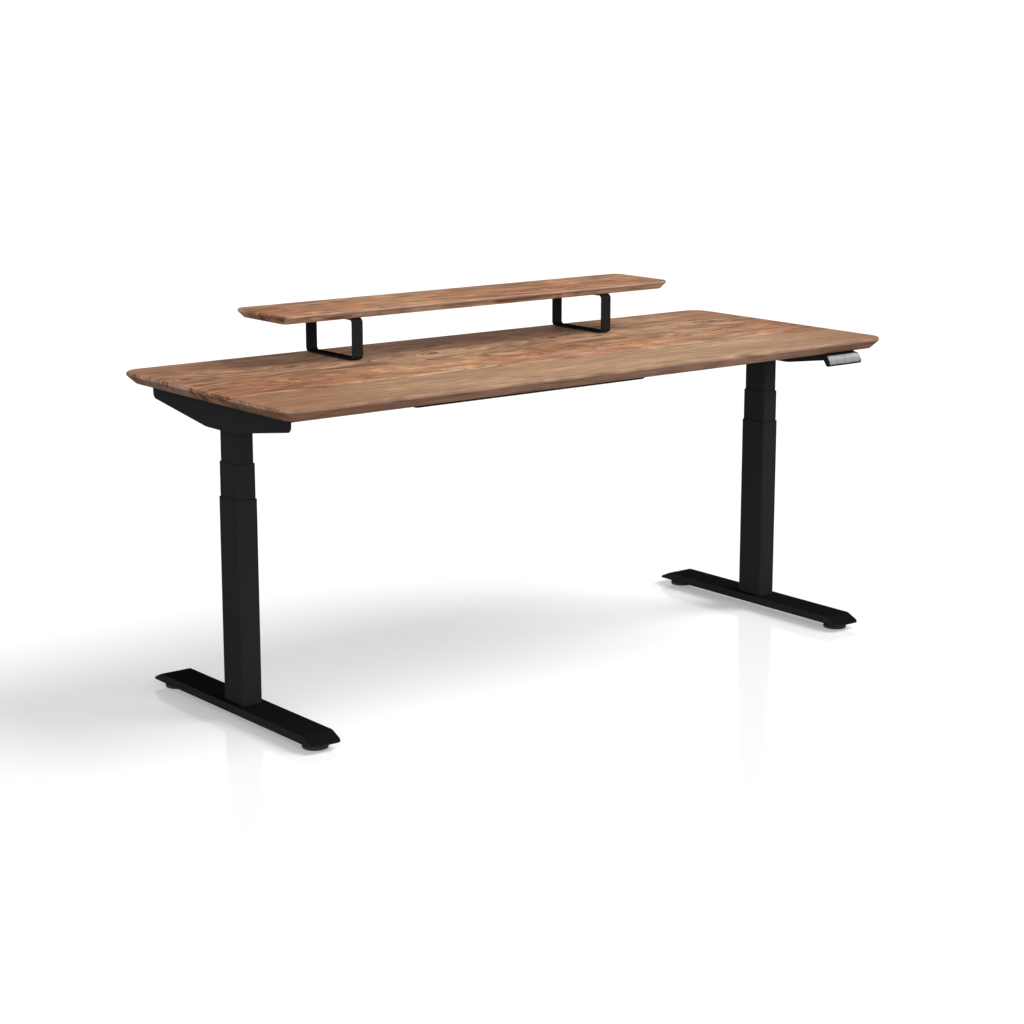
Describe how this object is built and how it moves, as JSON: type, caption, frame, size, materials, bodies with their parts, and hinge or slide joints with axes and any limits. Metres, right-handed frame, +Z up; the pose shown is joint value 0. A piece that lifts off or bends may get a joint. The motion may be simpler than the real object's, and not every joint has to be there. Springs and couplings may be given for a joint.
{
  "type": "height-adjustable desk",
  "caption": "Long desk with a bevelled wooden top, lifting three-stage steel legs on slim feet, a raised shelf on steel loops and a keypad under the front edge.",
  "frame": {"origin": "on the floor, midway between the two legs and on the legs' centre plane", "axes": "+X to the user's right along the desk, +Y away from the user towards the shelf, +Z up"},
  "size_m": [1.9, 0.75, 0.926],
  "materials": {
    "wood": "oiled walnut-toned boards, satin, grain along the desk",
    "black_steel": "fine black powder coat, satin",
    "cast_housing": "cast and powder coated black",
    "black_plastic": "moulded black plastic, fine texture",
    "rubber": "matte black rubber",
    "zinc_steel": "zinc plated steel",
    "nylon": "natural nylon",
    "silver_keys": "silver painted plastic, satin",
    "circuit_board": "green laminate"
  },
  "bodies": {
    "base": {"left_foot": "black_steel", "right_foot": "black_steel", "left_lower_column": "black_steel", "right_lower_column": "black_steel", "column_base_plates": "zinc_steel", "foot_bolts": "zinc_steel", "leveller_nuts": "zinc_steel", "column_top_glides": "black_plastic", "base_screws": "zinc_steel"},
    "left_middle": {"left_middle_tube": "black_steel", "left_middle_glides": "black_plastic", "left_nut_post": "zinc_steel", "left_spindle_nut": "nylon"},
    "right_middle": {"right_middle_tube": "black_steel", "right_middle_glides": "black_plastic", "right_nut_post": "zinc_steel", "right_spindle_nut": "nylon"},
    "left_drive": {"left_drive_tube": "zinc_steel"},
    "right_drive": {"right_drive_tube": "zinc_steel"},
    "left_turning_spindle": {"left_spindle": "zinc_steel"},
    "right_turning_spindle": {"right_spindle": "zinc_steel"},
    "front_left_foot_pad": {"front_left_leveller": "rubber"},
    "front_right_foot_pad": {"front_right_leveller": "rubber"},
    "rear_left_foot_pad": {"rear_left_leveller": "rubber"},
    "rear_right_foot_pad": {"rear_right_leveller": "rubber"},
    "first_key": {"key_1": "silver_keys"},
    "second_key": {"key_2": "silver_keys"},
    "third_key": {"key_3": "silver_keys"},
    "fourth_key": {"key_4": "silver_keys"},
    "top": {"left_upper_tube": "black_steel", "right_upper_tube": "black_steel", "upper_tube_shoes": "black_plastic", "bearing_blocks": "zinc_steel", "spindle_bearings": "zinc_steel", "left_gear_housing": "cast_housing", "right_gear_housing": "cast_housing", "left_motor": "black_steel", "right_motor": "black_steel", "left_side_bracket": "black_steel", "right_side_bracket": "black_steel", "bracket_pads": "rubber", "beam_tray": "black_steel", "left_beam_rail": "black_steel", "right_beam_rail": "black_steel", "frame_screws": "zinc_steel", "desktop": "wood", "desktop_screws": "zinc_steel", "shelf_board": "wood", "left_shelf_loop": "black_steel", "right_shelf_loop": "black_steel", "shelf_screws": "zinc_steel", "shelf_loop_pads": "rubber", "control_box_base": "black_plastic", "control_box_cover": "black_plastic", "control_box_screws": "zinc_steel", "handset_case": "black_plastic", "handset_board": "circuit_board", "handset_screws": "zinc_steel"}
  },
  "joints": [
    {"name": "lift", "type": "slide", "parent": "base", "child": "top", "axis": [0, 0, 1], "range_m": [-0.15, 0.5]},
    {"name": "left_middle_slide", "type": "slide", "parent": "base", "child": "left_middle", "axis": [0, 0, 1], "range_m": [-0.075, 0.25]},
    {"name": "left_drive_turn", "type": "hinge", "parent": "left_middle", "child": "left_drive", "pos_m": [-0.849, 0, 0.3], "axis": [0, 0, 1], "range_deg": [-1697, 5635]},
    {"name": "left_spindle_turn", "type": "hinge", "parent": "top", "child": "left_turning_spindle", "pos_m": [-0.849, 0, 0.5], "axis": [0, 0, 1], "range_deg": [-1697, 5635]},
    {"name": "right_middle_slide", "type": "slide", "parent": "base", "child": "right_middle", "axis": [0, 0, 1], "range_m": [-0.075, 0.25]},
    {"name": "right_drive_turn", "type": "hinge", "parent": "right_middle", "child": "right_drive", "pos_m": [0.849, 0, 0.3], "axis": [0, 0, 1], "range_deg": [-1697, 5635]},
    {"name": "right_spindle_turn", "type": "hinge", "parent": "top", "child": "right_turning_spindle", "pos_m": [0.849, 0, 0.5], "axis": [0, 0, 1], "range_deg": [-1697, 5635]},
    {"name": "front_left_leveller", "type": "slide", "parent": "base", "child": "front_left_foot_pad", "axis": [0, 0, 1], "range_m": [-0.01, 0]},
    {"name": "front_right_leveller", "type": "slide", "parent": "base", "child": "front_right_foot_pad", "axis": [0, 0, 1], "range_m": [-0.01, 0]},
    {"name": "rear_left_leveller", "type": "slide", "parent": "base", "child": "rear_left_foot_pad", "axis": [0, 0, 1], "range_m": [-0.01, 0]},
    {"name": "rear_right_leveller", "type": "slide", "parent": "base", "child": "rear_right_foot_pad", "axis": [0, 0, 1], "range_m": [-0.01, 0]},
    {"name": "press_first_key", "type": "slide", "parent": "top", "child": "first_key", "axis": [0, -0.9311, 0.3649], "range_m": [-0.001, 0], "stiffness_N_per_m": 400},
    {"name": "press_second_key", "type": "slide", "parent": "top", "child": "second_key", "axis": [0, -0.9311, 0.3649], "range_m": [-0.001, 0], "stiffness_N_per_m": 400},
    {"name": "press_third_key", "type": "slide", "parent": "top", "child": "third_key", "axis": [0, -0.9311, 0.3649], "range_m": [-0.001, 0], "stiffness_N_per_m": 400},
    {"name": "press_fourth_key", "type": "slide", "parent": "top", "child": "fourth_key", "axis": [0, -0.9311, 0.3649], "range_m": [-0.001, 0], "stiffness_N_per_m": 400}
  ],
  "couplings": [
    {"joint": "left_middle_slide", "follows": "lift", "ratio": 0.5},
    {"joint": "left_drive_turn", "follows": "lift", "rad_per_m": 196.35},
    {"joint": "left_spindle_turn", "follows": "lift", "rad_per_m": 196.35},
    {"joint": "right_middle_slide", "follows": "lift", "ratio": 0.5},
    {"joint": "right_drive_turn", "follows": "lift", "rad_per_m": 196.35},
    {"joint": "right_spindle_turn", "follows": "lift", "rad_per_m": 196.35}
  ]
}
